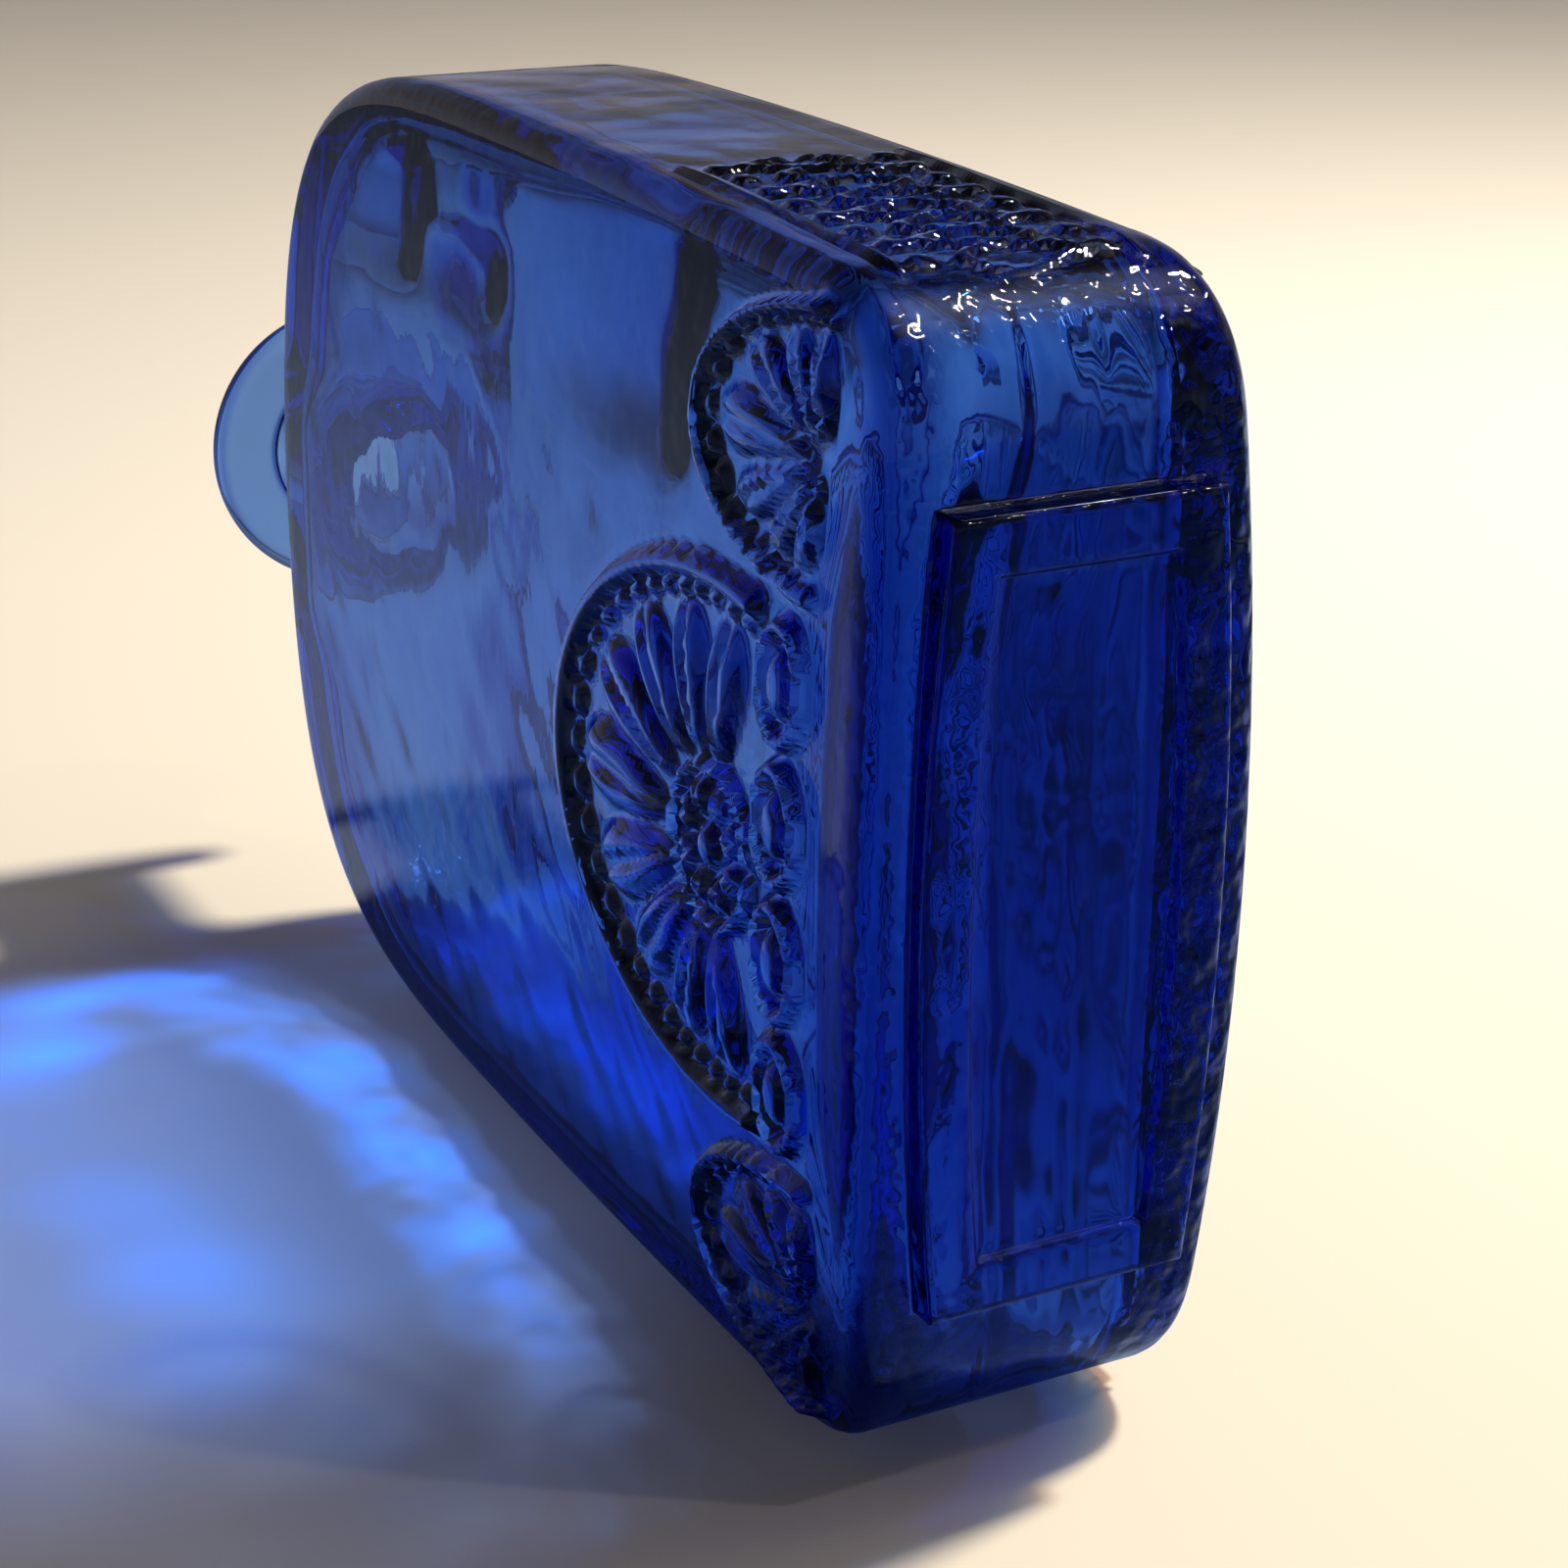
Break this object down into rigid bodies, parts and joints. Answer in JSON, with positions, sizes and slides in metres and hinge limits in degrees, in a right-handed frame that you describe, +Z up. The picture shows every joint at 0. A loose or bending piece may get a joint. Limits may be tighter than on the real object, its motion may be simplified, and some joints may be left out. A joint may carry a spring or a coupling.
{
  "type": "embossed glass flask",
  "caption": "Flat, round-shouldered flask of thick cobalt glass with raised ornament at its base, a framed foot slab, a short neck and a flared lip, lying on its narrow side.",
  "frame": {"origin": "on the surface that the flask lies on, under the middle of the whole bottle", "axes": "X along the bottle's own axis, foot at +X and mouth at -X; Y through its thickness, front broad face at -Y; Z up, across the broad faces"},
  "size_m": [0.2364, 0.0574, 0.15],
  "materials": {
    "cobalt_glass": "thick transparent cobalt blue glass, fire polished, slightly wavy",
    "thin_glass": "the same glass where it is thin and reads pale blue"
  },
  "bodies": {
    "root": {"front_side_wall": "cobalt_glass", "front_face_wall": "cobalt_glass", "back_side_wall": "cobalt_glass", "back_face_wall": "cobalt_glass", "foot_slab": "cobalt_glass", "neck": "thin_glass", "lip": "thin_glass", "front_rosette": "cobalt_glass", "front_palmette": "cobalt_glass", "front_oval_row": "cobalt_glass", "front_upper_lobe": "cobalt_glass", "front_lower_lobe": "cobalt_glass", "back_rosette": "cobalt_glass", "back_palmette": "cobalt_glass", "back_oval_row": "cobalt_glass", "back_upper_lobe": "cobalt_glass", "back_lower_lobe": "cobalt_glass", "upper_side_scroll": "cobalt_glass", "lower_side_scroll": "cobalt_glass"}
  },
  "joints": []
}
